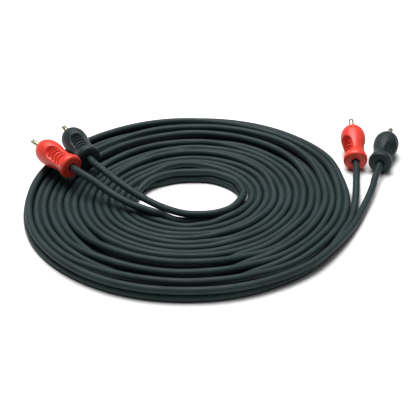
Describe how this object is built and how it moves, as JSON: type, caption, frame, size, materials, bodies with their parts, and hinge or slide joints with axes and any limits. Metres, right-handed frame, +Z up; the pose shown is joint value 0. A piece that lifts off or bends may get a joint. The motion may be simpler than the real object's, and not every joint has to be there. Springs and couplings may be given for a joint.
{
  "type": "rca audio cable",
  "caption": "Twin audio cord lying in a flat coil, with a moulded phono plug on each free end: red and black grips with finger recesses, plated shells and split centre pins.",
  "frame": {"origin": "middle of the underside of the whole cable's box, on the table", "axes": "+Z up from the table; +X to the side where the cord leaves the coil for one pair of plugs, along the box's length; +Y towards the plugs' noses"},
  "size_m": [0.2178, 0.18, 0.0232],
  "materials": {
    "cord_jacket": "satin",
    "red_grip": "satin",
    "black_grip": "satin",
    "plated_shell": "plated, polished",
    "plated_pin": "plated, polished",
    "white_insulator": "satin",
    "inner_mould": "matte",
    "core_insulation": "matte",
    "copper": "bare copper wire"
  },
  "bodies": {
    "root": {"cord_coil": "cord_jacket", "left_red_tail": "cord_jacket", "left_red_grip": "red_grip", "left_red_ground_shell": "plated_shell", "left_red_center_pin": "plated_pin", "left_red_insulator": "white_insulator", "left_red_inner_mould": "inner_mould", "left_red_core_insulation": "core_insulation", "left_red_conductor": "copper", "left_red_shield_wire": "copper", "left_black_tail": "cord_jacket", "left_black_grip": "black_grip", "left_black_ground_shell": "plated_shell", "left_black_center_pin": "plated_pin", "left_black_insulator": "white_insulator", "left_black_inner_mould": "inner_mould", "left_black_core_insulation": "core_insulation", "left_black_conductor": "copper", "left_black_shield_wire": "copper", "right_red_tail": "cord_jacket", "right_red_grip": "red_grip", "right_red_ground_shell": "plated_shell", "right_red_center_pin": "plated_pin", "right_red_insulator": "white_insulator", "right_red_inner_mould": "inner_mould", "right_red_core_insulation": "core_insulation", "right_red_conductor": "copper", "right_red_shield_wire": "copper", "right_black_tail": "cord_jacket", "right_black_grip": "black_grip", "right_black_ground_shell": "plated_shell", "right_black_center_pin": "plated_pin", "right_black_insulator": "white_insulator", "right_black_inner_mould": "inner_mould", "right_black_core_insulation": "core_insulation", "right_black_conductor": "copper", "right_black_shield_wire": "copper"}
  },
  "joints": []
}
